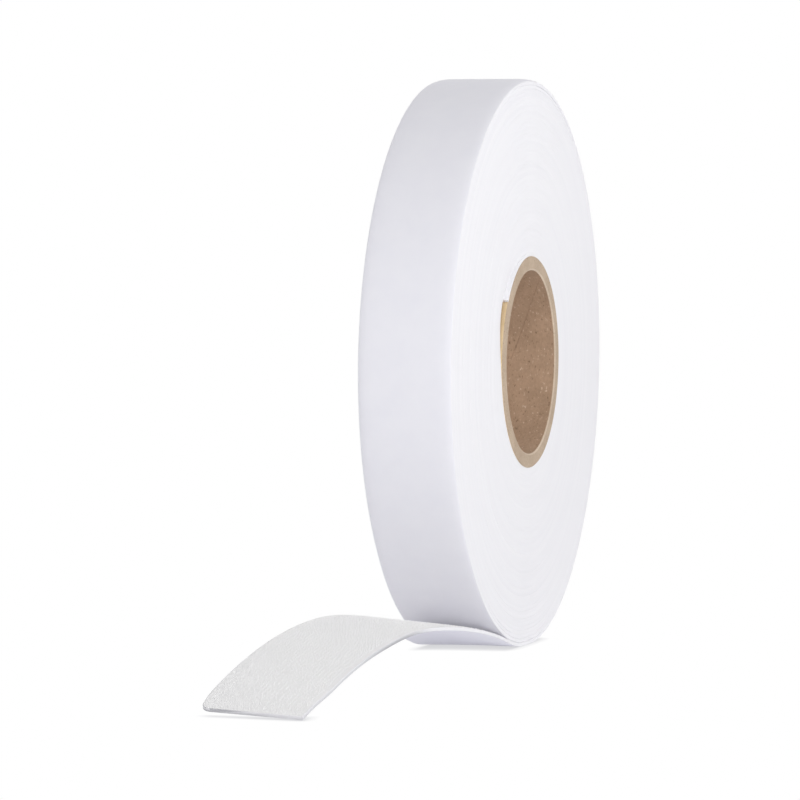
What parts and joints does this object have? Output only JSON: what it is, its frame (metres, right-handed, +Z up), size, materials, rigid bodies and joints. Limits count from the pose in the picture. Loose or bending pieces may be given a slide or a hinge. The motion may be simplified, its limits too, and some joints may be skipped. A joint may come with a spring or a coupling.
{
  "type": "hook and loop tape roll",
  "caption": "Flat roll of white hook and loop fastening tape on a paperboard core, standing on its rim with its free end run out.",
  "frame": {"origin": "middle of the flat that the roll stands on, under the roll's axis and halfway across the tape", "axes": "+Z up, +X along the roll's axis, -Y the way that the free end runs out"},
  "size_m": [0.0392, 0.4109, 0.2344],
  "materials": {
    "paperboard": "matt kraft paper",
    "tape_edge": "stacked cut edges of white woven tape",
    "tape_smooth": "smooth white backing",
    "tape_pile": "matt pebbled white pile"
  },
  "bodies": {
    "roll": {"core_tube": "paperboard", "wound_tape": "tape_edge", "outer_wrap": "tape_smooth"},
    "rise": {"tail_rise": "tape_pile"},
    "crest": {"tail_crest": "tape_pile"},
    "end": {"tail_end": "tape_pile"}
  },
  "joints": [
    {"name": "root_bend", "type": "hinge", "parent": "roll", "child": "rise", "pos_m": [0, -0.06035, 0.01118], "axis": [-1, 0, 0], "range_deg": [0, 30]},
    {"name": "middle_bend", "type": "hinge", "parent": "rise", "child": "crest", "pos_m": [0, -0.13797, 0.02027], "axis": [-1, 0, 0], "range_deg": [0, 40]},
    {"name": "end_bend", "type": "hinge", "parent": "crest", "child": "end", "pos_m": [0, -0.21611, 0.01777], "axis": [-1, 0, 0], "range_deg": [0, 55]}
  ]
}
